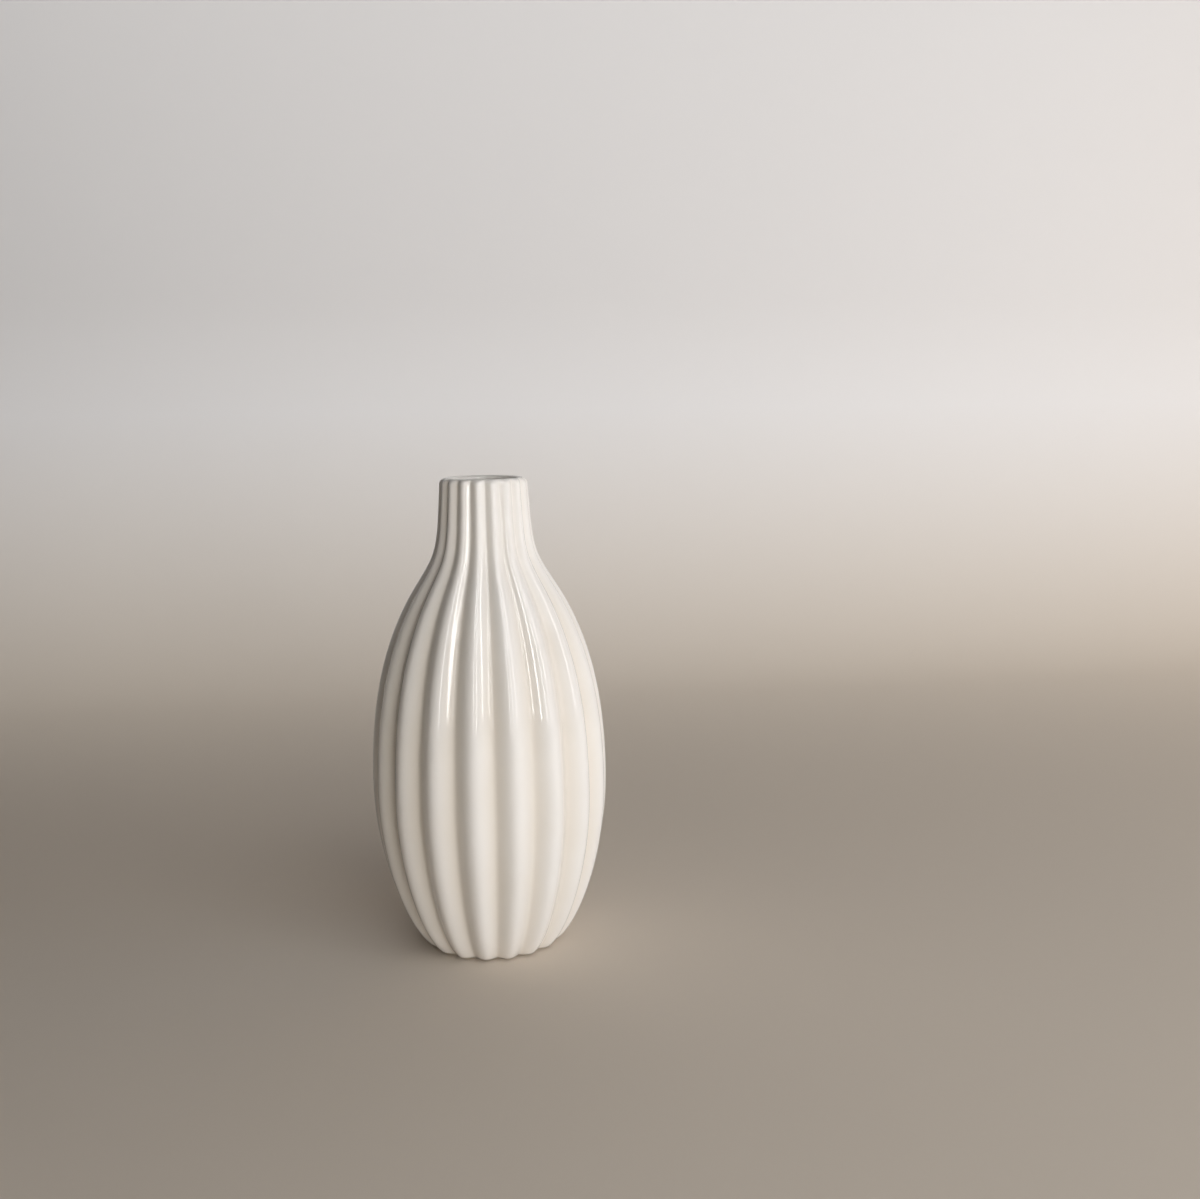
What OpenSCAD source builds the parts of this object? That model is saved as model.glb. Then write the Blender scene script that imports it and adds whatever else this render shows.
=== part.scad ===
// Ribbed bud vase: one slip-cast clay body, glazed outside and lined with glaze inside.
// The vase stands on z = 0 with its axis on Z. A groove faces -Y.

/* [Outline, over the ribs] */
// Height from the table to the top of the lip
vase_h = 180; // [170:1:190]
// Diameter of the foot where it meets the table
foot_d = 47.2; // [44:0.1:52]
// Diameter at the belly, the widest point
belly_d = 89.7; // [84:0.1:94]
// Height of the belly above the table
belly_z = 64; // [58:1:70]
// Diameter where the shoulder's bulge turns into the neck's hollow curve
turn_d = 54.2; // [50:0.1:58]
// Height where the shoulder turns into the neck
turn_z = 138.5; // [134:0.5:142]
// How far the wall leans in at that turn, in degrees from upright
turn_lean = 32; // [24:1:38]
// Diameter of the neck just under the lip
neck_d = 33; // [32.6:0.1:36]

/* [Ribs] */
// Number of ribs round the vase
rib_count = 18; // [12:1:20]
// Depth of a groove as a share of the radius over the ribs
rib_depth = 0.078; // [0.04:0.001:0.09]
// Roundness of the ribs: 1 gives round ribs and sharp grooves, 2 gives an even wave
rib_roundness = 1.45; // [1:0.01:2]

/* [Lip and inside] */
// Diameter of the glazed mouth
mouth_d = 25; // [22:0.1:25]
// Straight length of the mouth, measured down from the lip
mouth_len = 24; // [18:1:28]
// Radius of the lip's outer edge
lip_r = 2.2; // [1.6:0.1:2.4]
// Thickness of the clay behind the grooves
wall = 3.6; // [3:0.1:5]
// Thickness of the clay floor above the recess
floor_t = 4.5; // [3:0.5:7]

/* [Foot and glaze] */
// Diameter of the shallow recess under the foot
recess_d = 34; // [28:0.5:38]
// Depth of that recess
recess_h = 1.5; // [0.5:0.1:2.5]
// Thickness of the glaze on the clay
glaze_t = 0.3; // [0.2:0.05:0.4]

/* [Hidden] */
$fn = 96;

// Points round each rib, and steps along each curve of the outline
rib_points = 6;
foot_steps = 6;
shoulder_steps = 7;
neck_steps = 4;
lip_steps = 3;
inside_steps = 9;

// Share of the foot's curve, from the table upwards, that the glaze leaves bare
bare_share = 0.08;

// Lengths of the handles that shape the outline's three curves
foot_reach = 8.5;
foot_rise = 3.2;
belly_below = 31;
belly_above = 33.5;
turn_below = 21.2;
turn_above = 16.5;
neck_below = 26.4;
neck_flare = 1.6;

// Lengths of the handles that shape the inside
bowl_floor_share = 0.7;
bowl_reach = 8;
bowl_below = 30;
hollow_above = 31;
hollow_below = 18;
throat_below = 9;
throat_above = 5;

// The clay's outline lies one glaze thickness inside the finished vase.
clay_h = vase_h - glaze_t;
neck_r = neck_d / 2 - glaze_t;
lip_top_r = neck_r - lip_r;
neck_top_z = clay_h - lip_r;
bore_r = mouth_d / 2 + glaze_t;
flare_r = lip_top_r - bore_r - 0.1;

foot_edge = [foot_d / 2, 0];
belly = [belly_d / 2 - glaze_t, belly_z];
turn = [turn_d / 2 - glaze_t, turn_z];
neck_top = [neck_r, neck_top_z];
up_the_turn = [-sin(turn_lean), cos(turn_lean)];

foot_curve = [foot_edge, foot_edge + [foot_reach, foot_rise], belly - [0, belly_below], belly];
shoulder_curve = [belly, belly + [0, belly_above], turn - turn_below * up_the_turn, turn];
neck_curve = [turn, turn + turn_above * up_the_turn, neck_top + [neck_flare, -neck_below], neck_top];

// A point on a cubic curve, and the direction of travel there
function along(c, t) =
    pow(1 - t, 3) * c[0] + 3 * pow(1 - t, 2) * t * c[1] + 3 * (1 - t) * t * t * c[2] + pow(t, 3) * c[3];
function heading(c, t) =
    pow(1 - t, 2) * (c[1] - c[0]) + 2 * (1 - t) * t * (c[2] - c[1]) + t * t * (c[3] - c[2]);

// The unit direction square to a heading, pointing out of the vase
function outward(v) = [v[1], -v[0]] / norm(v);

// Depth of the grooves at a point of the outline
function groove(p) = rib_depth * p[0];

// A station of the ribbed outside is [radius over the ribs, height, depth of the grooves].
function wall_station(c, t, skin) =
    let (p = along(c, t) + skin * outward(heading(c, t)))
    [p[0], p[1], groove(along(c, t))];
function curve_stations(c, steps, skin) =
    [for (i = [1 : steps]) wall_station(c, i / steps, skin)];

// The ribs die out round the outer edge of the lip, so the lip's top is a level ring.
function lip_stations(skin) =
    [for (i = [1 : lip_steps])
        let (a = 90 * i / lip_steps)
        [lip_top_r + (lip_r + skin) * cos(a), neck_top_z + (lip_r + skin) * sin(a),
         groove(neck_top) * cos(a)]];

// The plain inner edge of the lip, down to where the liner begins
function mouth_stations(skin) =
    [for (i = [1 : lip_steps])
        let (a = 90 * i / lip_steps)
        [bore_r + flare_r - (flare_r + skin) * sin(a), clay_h - flare_r + (flare_r + skin) * cos(a), 0]];

function outside_stations(skin) = concat(
    [wall_station(foot_curve, bare_share, skin)],
    curve_stations(foot_curve, foot_steps, skin),
    curve_stations(shoulder_curve, shoulder_steps, skin),
    curve_stations(neck_curve, neck_steps, skin),
    lip_stations(skin));

// One ring of points with a crest on the X axis
ring_points = rib_count * rib_points;
function ring(s) =
    [for (i = [0 : ring_points - 1])
        let (a = 360 * i / ring_points)
        let (r = s[0] - s[2] * (1 - pow(abs(cos(rib_count * a / 2)), rib_roundness)))
        [r * cos(a), r * sin(a), s[1]]];

// Two triangles for each patch between ring j and the ring that follows it
function band(j, k) =
    [for (i = [0 : ring_points - 1])
        let (n = (i + 1) % ring_points)
        each [[j * ring_points + i, k * ring_points + i, k * ring_points + n],
              [j * ring_points + i, k * ring_points + n, j * ring_points + n]]];

// A solid stack of rings, closed by a flat face at each end
module ribbed_solid(stations) {
    last = len(stations) - 1;
    polyhedron(
        points = [for (s = stations) each ring(s)],
        faces = concat(
            [[for (i = [0 : ring_points - 1]) i]],
            [for (j = [0 : last - 1]) each band(j, j + 1)],
            [[for (i = [ring_points - 1 : -1 : 0]) last * ring_points + i]]),
        convexity = 8);
}

// A skin whose rings run up one face, over the end and back down the other
module ribbed_skin(stations) {
    count = len(stations);
    polyhedron(
        points = [for (s = stations) each ring(s)],
        faces = [for (j = [0 : count - 1]) each band(j, (j + 1) % count)],
        convexity = 8);
}

// The inside follows the grooves one wall thickness away, and ends in the straight mouth.
floor_z = recess_h + floor_t;
belly_in = [belly[0] * (1 - rib_depth) - wall, belly_z];
turn_in = [turn[0] * (1 - rib_depth), turn_z] - wall * outward(up_the_turn);
floor_edge = [foot_d / 2 * bowl_floor_share, floor_z];
mouth_foot = [bore_r, clay_h - mouth_len];

bowl_curve = [floor_edge, floor_edge + [bowl_reach, 0], belly_in - [0, bowl_below], belly_in];
hollow_curve = [belly_in, belly_in + [0, hollow_above], turn_in - hollow_below * up_the_turn, turn_in];
throat_curve = [turn_in, turn_in + throat_below * up_the_turn, mouth_foot - [0, throat_above], mouth_foot];

function inside_points(c, skin) =
    [for (i = [0 : inside_steps - 1])
        along(c, i / inside_steps) - skin * outward(heading(c, i / inside_steps))];
function inside_outline(skin) = concat(
    [[0, floor_z + skin]],
    inside_points(bowl_curve, skin),
    inside_points(hollow_curve, skin),
    inside_points(throat_curve, skin),
    [mouth_foot - [skin, 0], [bore_r - skin, clay_h - flare_r]]);

// The rounded edge between the mouth's straight side and the top of the lip
function flare_points() =
    [for (i = [1 : inside_steps])
        let (a = 90 * i / inside_steps)
        [bore_r + flare_r * (1 - cos(a)), clay_h - flare_r * (1 - sin(a))]];

// Cast clay: ribbed outside, plain hollow inside, with a recess turned under the foot
module clay_body() {
    stations = concat([[foot_edge[0], 0, groove(foot_edge)]], outside_stations(0));
    above = clay_h + 1;
    color([0.90, 0.86, 0.79])
    difference() {
        ribbed_solid(stations);
        rotate_extrude()
            polygon(concat(
                inside_outline(0),
                flare_points(),
                [[bore_r + flare_r, above], [0, above]]));
        translate([0, 0, -1])
            cylinder(d = recess_d, h = recess_h + 1);
    }
}

// Glaze sprayed on the outside: from just above the foot, over the lip, to the mouth's edge
module outer_glaze() {
    front = concat(outside_stations(glaze_t), mouth_stations(glaze_t));
    back = concat(outside_stations(0), mouth_stations(0));
    color([0.94, 0.93, 0.90])
    ribbed_skin(concat(front, [for (i = [len(back) - 1 : -1 : 0]) back[i]]));
}

// Glaze poured inside: the floor, the hollow and the straight mouth
module liner_glaze() {
    front = inside_outline(glaze_t);
    back = inside_outline(0);
    color([0.92, 0.91, 0.88])
    rotate_extrude()
        polygon(concat(back, [for (i = [len(front) - 1 : -1 : 0]) front[i]]));
}

clay_body();
outer_glaze();
liner_glaze();
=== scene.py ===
import math

import bmesh
import bpy
from mathutils import Matrix, Vector
from mathutils.geometry import interpolate_bezier


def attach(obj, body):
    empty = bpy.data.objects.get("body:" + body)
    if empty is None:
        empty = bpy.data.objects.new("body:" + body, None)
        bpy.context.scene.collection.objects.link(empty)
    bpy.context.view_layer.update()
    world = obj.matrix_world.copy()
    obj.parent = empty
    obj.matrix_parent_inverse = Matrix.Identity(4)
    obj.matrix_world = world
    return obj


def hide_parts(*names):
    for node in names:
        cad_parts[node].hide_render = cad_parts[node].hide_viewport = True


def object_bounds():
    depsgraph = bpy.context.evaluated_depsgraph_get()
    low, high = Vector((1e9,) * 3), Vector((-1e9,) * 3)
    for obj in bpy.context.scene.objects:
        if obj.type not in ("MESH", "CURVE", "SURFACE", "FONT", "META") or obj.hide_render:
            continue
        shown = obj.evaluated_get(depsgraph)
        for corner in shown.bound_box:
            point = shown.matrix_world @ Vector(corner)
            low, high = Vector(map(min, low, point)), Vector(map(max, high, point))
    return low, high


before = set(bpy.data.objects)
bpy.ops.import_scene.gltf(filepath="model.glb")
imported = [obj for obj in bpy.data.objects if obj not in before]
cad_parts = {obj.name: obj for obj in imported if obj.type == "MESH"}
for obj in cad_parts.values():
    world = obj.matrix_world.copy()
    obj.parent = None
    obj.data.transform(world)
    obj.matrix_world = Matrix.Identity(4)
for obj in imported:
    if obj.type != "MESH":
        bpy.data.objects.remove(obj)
cad_low, cad_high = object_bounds()


# ---------------------------------------------------------------------------------------------
# Camera. It stands a little over two and a half vase heights away and just above the lip, and
# it looks slightly down and past the vase's right side, so the vase sits left of the middle.
# ---------------------------------------------------------------------------------------------
vase_height = cad_high[2]
camera_distance = 2.663 * vase_height
camera_height = 1.154 * vase_height
camera_round = math.radians(-1.7)
camera_turn = math.radians(5.15)
camera_tilt = math.radians(8.86)
camera_roll = math.radians(0.66)
camera_lens = 38.25

camera_data = bpy.data.cameras.new("camera")
camera_data.sensor_width = 36
camera_data.lens = camera_lens
camera_data.clip_start = 0.01
camera = bpy.data.objects.new("camera", camera_data)
camera.location = (
    camera_distance * math.sin(camera_round),
    -camera_distance * math.cos(camera_round),
    camera_height)
camera.rotation_euler = (
    Matrix.Rotation(camera_round - camera_turn, 3, "Z")
    @ Matrix.Rotation(math.pi / 2 - camera_tilt, 3, "X")
    @ Matrix.Rotation(-camera_roll, 3, "Z")
).to_euler()
bpy.context.scene.collection.objects.link(camera)
bpy.context.scene.camera = camera


# ---------------------------------------------------------------------------------------------
# Clay body. The real piece is white clay slip, cast in a ribbed plaster mould: ribbed outside,
# plain and hollow inside. Its foot ring is wiped clean of glaze, so the fired clay shows there.
# ---------------------------------------------------------------------------------------------
rib_count = 18
rib_depth = 0.078
rib_roundness = 1.45
glaze_thickness = 0.0003
foot_radius = 0.0236
belly_height = 0.064
turn_radius = 0.0271 - glaze_thickness
turn_height = 0.1385
turn_lean = math.radians(32)
neck_radius = 0.0165 - glaze_thickness
lip_edge = 0.0022
mouth_radius = 0.0125
mouth_length = 0.024
clay_wall = 0.0036
recess_radius = 0.017
recess_depth = 0.0015
recess_edge = 0.0004
foot_ring_edge = 0.0003
floor_top = 0.006

foot_reach = Vector((0.0085, 0.0032))
belly_below = Vector((0, 0.031))
belly_above = Vector((0, 0.0335))
turn_below = 0.0212
turn_above = 0.0165
neck_flare = Vector((0.0016, -0.0264))
bowl_floor_share = 0.7
bowl_reach = Vector((0.008, 0))
bowl_below = Vector((0, 0.030))
hollow_above = Vector((0, 0.031))
hollow_below = 0.018
throat_below = 0.009
throat_above = Vector((0, 0.005))

belly_radius = cad_high[0] - glaze_thickness
clay_top = vase_height - glaze_thickness
lip_start = clay_top - lip_edge
lip_top_radius = neck_radius - lip_edge
bore_radius = mouth_radius + glaze_thickness
flare = lip_top_radius - bore_radius - 0.0001
up_the_turn = Vector((-math.sin(turn_lean), math.cos(turn_lean)))
foot_point = Vector((foot_radius, 0))
belly_point = Vector((belly_radius, belly_height))
turn_point = Vector((turn_radius, turn_height))
neck_point = Vector((neck_radius, lip_start))


def smooth_curve(start, start_handle, end_handle, end, steps):
    """Points from start to end, without the first one."""
    return [Vector(p) for p in interpolate_bezier(start, start_handle, end_handle, end, steps + 1)][1:]


def wall_line(detail):
    """The outline over the ribs from the foot to the lip, as points of (radius, height)."""
    foot_curve = smooth_curve(
        foot_point, foot_point + foot_reach,
        belly_point - belly_below, belly_point, 5 * detail)
    shoulder_curve = smooth_curve(
        belly_point, belly_point + belly_above,
        turn_point - turn_below * up_the_turn, turn_point, 6 * detail)
    neck_curve = smooth_curve(
        turn_point, turn_point + turn_above * up_the_turn,
        neck_point + neck_flare, neck_point, 4 * detail)
    return [foot_point] + foot_curve + shoulder_curve + neck_curve


def thickened(line, coat):
    """The line moved outwards, square to itself, by the thickness of a coat."""
    moved = []
    for here, point in enumerate(line):
        travel = line[min(here + 1, len(line) - 1)] - line[max(here - 1, 0)]
        moved.append(point + coat * Vector((travel.y, -travel.x)).normalized())
    return moved


def groove_depth(point):
    """How deep the grooves are at a point of the outline."""
    return rib_depth * point.x


def ribbed_outline(detail, coat, bare_points=0):
    """Outline points with the depth of the grooves at each. The ribs die out round the lip."""
    line = wall_line(detail)
    outline = [
        (point, groove_depth(clay))
        for point, clay in zip(thickened(line, coat), line)
    ][bare_points:]
    for step in range(1, 2 * detail + 1):
        turn = math.pi / 2 * step / (2 * detail)
        lip_centre = Vector((lip_top_radius, lip_start))
        edge = lip_centre + (lip_edge + coat) * Vector((math.cos(turn), math.sin(turn)))
        outline.append((edge, groove_depth(neck_point) * math.cos(turn)))
    return outline


def mouth_edge(detail, coat):
    """The plain rounded edge from the lip's top down into the mouth."""
    edge = []
    for step in range(0, detail + 1):
        turn = math.pi / 2 * step / detail
        centre = Vector((bore_radius + flare, clay_top - flare))
        edge.append((centre + (flare + coat) * Vector((-math.sin(turn), math.cos(turn))), 0))
    return edge


def inside_line(detail):
    """The hollow from the mouth's straight side down to the middle of the floor."""
    belly_inside = Vector((belly_radius * (1 - rib_depth) - clay_wall, belly_height))
    out_of_the_turn = Vector((math.cos(turn_lean), math.sin(turn_lean)))
    turn_inside = Vector((turn_radius * (1 - rib_depth), turn_height)) - clay_wall * out_of_the_turn
    floor_edge = Vector((bowl_floor_share * foot_radius, floor_top))
    mouth_foot = Vector((bore_radius, clay_top - mouth_length))
    throat = smooth_curve(
        mouth_foot, mouth_foot - throat_above,
        turn_inside + throat_below * up_the_turn, turn_inside, 2 * detail)
    hollow = smooth_curve(
        turn_inside, turn_inside - hollow_below * up_the_turn,
        belly_inside + hollow_above, belly_inside, 3 * detail)
    bowl = smooth_curve(
        belly_inside, belly_inside - bowl_below,
        floor_edge + bowl_reach, floor_edge, 3 * detail)
    return [mouth_foot] + throat + hollow + bowl


def spun(name, outline, steps, closed):
    """Spins an outline of (point, groove depth) once round the axis, then presses in the grooves."""
    shape = bmesh.new()
    depth_of = shape.verts.layers.float.new("groove_depth")
    corners = []
    for point, depth in outline:
        corner = shape.verts.new((point.x, 0, point.y))
        corner[depth_of] = depth
        corners.append(corner)
    edges = [shape.edges.new(pair) for pair in zip(corners, corners[1:])]
    if closed:
        edges.append(shape.edges.new((corners[-1], corners[0])))
    bmesh.ops.spin(
        shape, geom=corners + edges, cent=(0, 0, 0), axis=(0, 0, 1),
        angle=2 * math.pi, steps=steps, use_merge=True)
    bmesh.ops.remove_doubles(shape, verts=shape.verts, dist=1e-6)
    valley_of = shape.verts.layers.float.new("valley")
    for corner in shape.verts:
        radius = corner.co.xy.length
        if radius > 0 and corner[depth_of] > 0:
            across = math.cos(rib_count / 2 * math.atan2(corner.co.y, corner.co.x))
            valley = 1 - abs(across) ** rib_roundness
            corner.co.xy *= 1 - corner[depth_of] * valley / radius
            corner[valley_of] = valley * corner[depth_of] / (rib_depth * belly_radius)
    bmesh.ops.recalc_face_normals(shape, faces=shape.faces)
    for face in shape.faces:
        face.smooth = True
    mesh = bpy.data.meshes.new(name)
    shape.to_mesh(mesh)
    shape.free()
    piece = bpy.data.objects.new(name, mesh)
    bpy.context.scene.collection.objects.link(piece)
    return piece


clay_outline = (
    [(Vector((0, recess_depth)), 0),
     (Vector((recess_radius - recess_edge, recess_depth)), 0),
     (Vector((recess_radius, recess_depth - recess_edge)), 0),
     (Vector((recess_radius, foot_ring_edge)), 0),
     (Vector((recess_radius + foot_ring_edge, 0)), 0)]
    + ribbed_outline(4, 0)
    + mouth_edge(4, 0)
    + [(point, 0) for point in inside_line(6)]
    + [(Vector((0, floor_top)), 0)])
clay_piece = spun("clay_wall", clay_outline, 288, closed=False)


def node_tree(name):
    """A new material with its nodes, and a function that adds a node with its settings."""
    material = bpy.data.materials.new(name)
    material.use_nodes = True
    tree = material.node_tree
    shader = tree.nodes["Principled BSDF"]

    def add(kind, **values):
        node = tree.nodes.new("ShaderNode" + kind)
        for key, value in values.items():
            if hasattr(node, key):
                setattr(node, key, value)
            else:
                node.inputs[key.replace("_", " ").title()].default_value = value
        return node

    return material, tree.links.new, shader, add


def bare_clay():
    """Rough fired clay with fine grain and faint blotches."""
    material, link, shader, add = node_tree("bare_clay")
    place = add("TexCoord")
    grain = add("TexNoise", scale=1400, detail=4)
    blotch = add("TexNoise", scale=90, detail=3)
    link(place.outputs["Object"], grain.inputs["Vector"])
    link(place.outputs["Object"], blotch.inputs["Vector"])
    tone = add("ValToRGB")
    tone.color_ramp.elements[0].position = 0.35
    tone.color_ramp.elements[0].color = (0.60, 0.53, 0.44, 1)
    tone.color_ramp.elements[1].position = 0.65
    tone.color_ramp.elements[1].color = (0.72, 0.67, 0.59, 1)
    link(blotch.outputs["Fac"], tone.inputs["Fac"])
    link(tone.outputs["Color"], shader.inputs["Base Color"])
    shader.inputs["Roughness"].default_value = 0.85
    bump = add("Bump", strength=0.5, distance=0.0001)
    link(grain.outputs["Fac"], bump.inputs["Height"])
    link(bump.outputs["Normal"], shader.inputs["Normal"])
    return material


clay_piece.data.materials.append(bare_clay())
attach(clay_piece, "root")
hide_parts("clay_body")


# ---------------------------------------------------------------------------------------------
# Outer glaze. A coat of warm white glaze, sprayed on and fired to a gloss. It stops just above
# the foot, rounds the lip, and ends inside the mouth where the poured liner takes over.
# ---------------------------------------------------------------------------------------------
coat_front = ribbed_outline(8, glaze_thickness, bare_points=3) + mouth_edge(6, glaze_thickness)
coat_back = ribbed_outline(3, 0, bare_points=1) + mouth_edge(2, 0)
coat_piece = spun("glaze_coat", coat_front + coat_back[::-1], 324, closed=True)


def white_glaze(name, crest_colour, pool_and_shade_colour):
    """Glossy white glaze over a faint peel and swell. Its colour turns darker and warmer in the
    grooves: partly glaze pooling there, partly painted shade.
    """
    material, link, shader, add = node_tree(name)
    place = add("TexCoord")
    pool_and_shade_mask = add("Attribute", attribute_name="valley")
    cloud = add("TexNoise", scale=45, detail=3)
    peel = add("TexNoise", scale=420, detail=2)
    swell = add("TexNoise", scale=60, detail=1)
    for pattern in (cloud, peel, swell):
        link(place.outputs["Object"], pattern.inputs["Vector"])
    # Towards the grooves the colour mixes to the pool colour: glaze pooling, and painted shade in the
    # grooves as well. Random cloud is added on top.
    depth = add("Math", operation="MULTIPLY_ADD")
    link(cloud.outputs["Fac"], depth.inputs[0])
    depth.inputs[1].default_value = 0.5
    link(pool_and_shade_mask.outputs["Fac"], depth.inputs[2])
    spread = add("MapRange")
    link(depth.outputs["Value"], spread.inputs["Value"])
    spread.inputs["From Min"].default_value = 0.15
    spread.inputs["From Max"].default_value = 1.3
    colour = add("Mix", data_type="RGBA")
    link(spread.outputs["Result"], colour.inputs["Factor"])
    colour.inputs["A"].default_value = (*crest_colour, 1)
    colour.inputs["B"].default_value = (*pool_and_shade_colour, 1)
    link(colour.outputs["Result"], shader.inputs["Base Color"])
    shader.inputs["Roughness"].default_value = 0.08
    shader.inputs["IOR"].default_value = 1.5
    bump = add("Bump", strength=0.12, distance=0.0001)
    link(peel.outputs["Fac"], bump.inputs["Height"])
    wave = add("Bump", strength=0.15, distance=0.0006)
    link(swell.outputs["Fac"], wave.inputs["Height"])
    link(bump.outputs["Normal"], wave.inputs["Normal"])
    link(wave.outputs["Normal"], shader.inputs["Normal"])
    return material


# Crest and pool colours. The darker, warmer pool colour in the grooves is partly glaze pooling and
# partly painted shade.
outer_crest_colour = (0.83, 0.80, 0.765)
outer_pool_and_shade_colour = (0.74, 0.68, 0.60)
coat_piece.data.materials.append(
    white_glaze("outer_glaze_white", outer_crest_colour, outer_pool_and_shade_colour))
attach(coat_piece, "root")
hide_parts("outer_glaze")


# ---------------------------------------------------------------------------------------------
# Liner glaze. A coat of the same glaze, poured in and out again before the outside is sprayed.
# It covers the floor, the hollow and the straight side of the mouth.
# ---------------------------------------------------------------------------------------------
liner_line = [Vector((bore_radius, clay_top - flare))] + inside_line(6) + [Vector((0, floor_top))]
liner_front = [(point, 0) for point in thickened(liner_line, glaze_thickness)]
liner_front[0] = (Vector((mouth_radius, clay_top - flare)), 0)
liner_front[-1] = (Vector((0, floor_top + glaze_thickness)), 0)
liner_back = [(point, 0) for point in liner_line]
liner_piece = spun("glaze_liner", liner_front[::-1] + liner_back, 144, closed=False)
# The liner's colours are a little darker than the outer glaze's: painted shade for the inside of the
# vase.
liner_shaded_crest_colour = (0.80, 0.77, 0.72)
liner_shaded_pool_colour = (0.76, 0.72, 0.66)
liner_piece.data.materials.append(
    white_glaze("liner_glaze_white", liner_shaded_crest_colour, liner_shaded_pool_colour))
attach(liner_piece, "root")
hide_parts("liner_glaze")


# ---------------------------------------------------------------------------------------------
# Stage and light: a plain pale sweep, warmer on the floor than on the upright. One lamp stands
# for a window, three strips are seen only as bright lines in the glaze, and three low fills
# light the vase without being seen in it. Past the sweep's edges the surround is plain and pale.
# ---------------------------------------------------------------------------------------------
sweep_half_width = 0.95
sweep_front = -0.80
sweep_bend = 0.30
sweep_back = 0.70
sweep_top = 2.6
sweep_bend_steps = 24
sweep_warm_height = 0.2

sweep_shape = bmesh.new()
sweep_line = [(sweep_front, 0), (sweep_back - sweep_bend, 0)]
for step in range(1, sweep_bend_steps + 1):
    turn = math.pi / 2 * step / sweep_bend_steps
    sweep_line.append((
        sweep_back - sweep_bend + sweep_bend * math.sin(turn),
        sweep_bend - sweep_bend * math.cos(turn)))
sweep_line.append((sweep_back, sweep_top))
sweep_corners = [sweep_shape.verts.new((-sweep_half_width, y, z)) for y, z in sweep_line]
sweep_edges = [sweep_shape.edges.new(pair) for pair in zip(sweep_corners, sweep_corners[1:])]
pulled = bmesh.ops.extrude_edge_only(sweep_shape, edges=sweep_edges)["geom"]
bmesh.ops.translate(
    sweep_shape, vec=(2 * sweep_half_width, 0, 0),
    verts=[part for part in pulled if isinstance(part, bmesh.types.BMVert)])
bmesh.ops.recalc_face_normals(sweep_shape, faces=sweep_shape.faces)
for face in sweep_shape.faces:
    face.smooth = True
sweep_mesh = bpy.data.meshes.new("paper_sweep")
sweep_shape.to_mesh(sweep_mesh)
sweep_shape.free()
sweep = bpy.data.objects.new("paper_sweep", sweep_mesh)
bpy.context.scene.collection.objects.link(sweep)
sweep_paint, link, sweep_shader, add = node_tree("pale_paper")
sweep_place = add("TexCoord")
sweep_axes = add("SeparateXYZ")
sweep_rise = add("MapRange")
sweep_tone = add("Mix", data_type="RGBA")
link(sweep_place.outputs["Object"], sweep_axes.inputs["Vector"])
link(sweep_axes.outputs["Z"], sweep_rise.inputs["Value"])
sweep_rise.inputs["From Max"].default_value = sweep_warm_height
link(sweep_rise.outputs["Result"], sweep_tone.inputs["Factor"])
sweep_tone.inputs["A"].default_value = (0.64, 0.57, 0.49, 1)
sweep_tone.inputs["B"].default_value = (0.78, 0.765, 0.76, 1)
link(sweep_tone.outputs["Result"], sweep_shader.inputs["Base Color"])
sweep_shader.inputs["Roughness"].default_value = 0.9
sweep_shader.inputs["Specular IOR Level"].default_value = 0.2
sweep.data.materials.append(sweep_paint)


lamp_aim = Vector((0, 0, 0.09))
lamp_reach = 1.1


def soft_lamp(name, turn, rise, size, power, colour):
    """A rectangular lamp aimed at the vase. Turn counts to the right from the front, in degrees."""
    data = bpy.data.lights.new(name, "AREA")
    data.shape = "RECTANGLE"
    data.size = size[0]
    data.size_y = size[1]
    data.energy = power
    data.color = colour
    lamp = bpy.data.objects.new(name, data)
    towards = Vector((
        math.sin(math.radians(turn)) * math.cos(math.radians(rise)),
        -math.cos(math.radians(turn)) * math.cos(math.radians(rise)),
        math.sin(math.radians(rise))))
    lamp.location = lamp_aim + lamp_reach * towards
    lamp.rotation_euler = towards.to_track_quat("Z", "Y").to_euler()
    bpy.context.scene.collection.objects.link(lamp)
    return lamp


soft_lamp("window", 26, 43, (0.90, 0.55), 2.4, (1.0, 0.99, 0.98))
left_strip = soft_lamp("left_strip", -8, 29, (0.06, 1.15), 3.6, (1.0, 0.99, 0.98))
middle_strip = soft_lamp("middle_strip", 19, 29, (0.06, 1.15), 2.8, (1.0, 0.99, 0.98))
right_strip = soft_lamp("right_strip", 52, 29, (0.06, 1.15), 2.8, (1.0, 0.99, 0.98))
for strip in (left_strip, middle_strip, right_strip):
    strip.visible_diffuse = False
front_fill = soft_lamp("front_fill", 8, 8, (0.50, 0.36), 4.15, (1.0, 0.955, 0.88))
side_fill = soft_lamp("side_fill", 50, 8, (1.40, 0.40), 7.6, (0.89, 0.93, 1.0))
far_fill = soft_lamp("far_fill", 104, 12, (0.80, 0.80), 2.2, (1.0, 0.86, 0.72))
for fill in (front_fill, side_fill, far_fill):
    fill.visible_glossy = False

sweep_lamp_data = bpy.data.lights.new("sweep_lamp", "AREA")
sweep_lamp_data.shape = "RECTANGLE"
sweep_lamp_data.size = 1.8
sweep_lamp_data.size_y = 0.3
sweep_lamp_data.spread = math.radians(60)
sweep_lamp_data.energy = 2.3
sweep_lamp = bpy.data.objects.new("sweep_lamp", sweep_lamp_data)
sweep_lamp.location = (0.15, 0.20, 1.45)
sweep_lamp.rotation_euler = (math.radians(28), 0, 0)
bpy.context.scene.collection.objects.link(sweep_lamp)

world = bpy.data.worlds.new("studio")
world.use_nodes = True
world.node_tree.nodes["Background"].inputs["Color"].default_value = (0.62, 0.60, 0.585, 1)
world.node_tree.nodes["Background"].inputs["Strength"].default_value = 1.0
world.cycles_visibility.diffuse = False
world.cycles_visibility.glossy = False
bpy.context.scene.world = world
bpy.context.scene.view_settings.view_transform = "Standard"
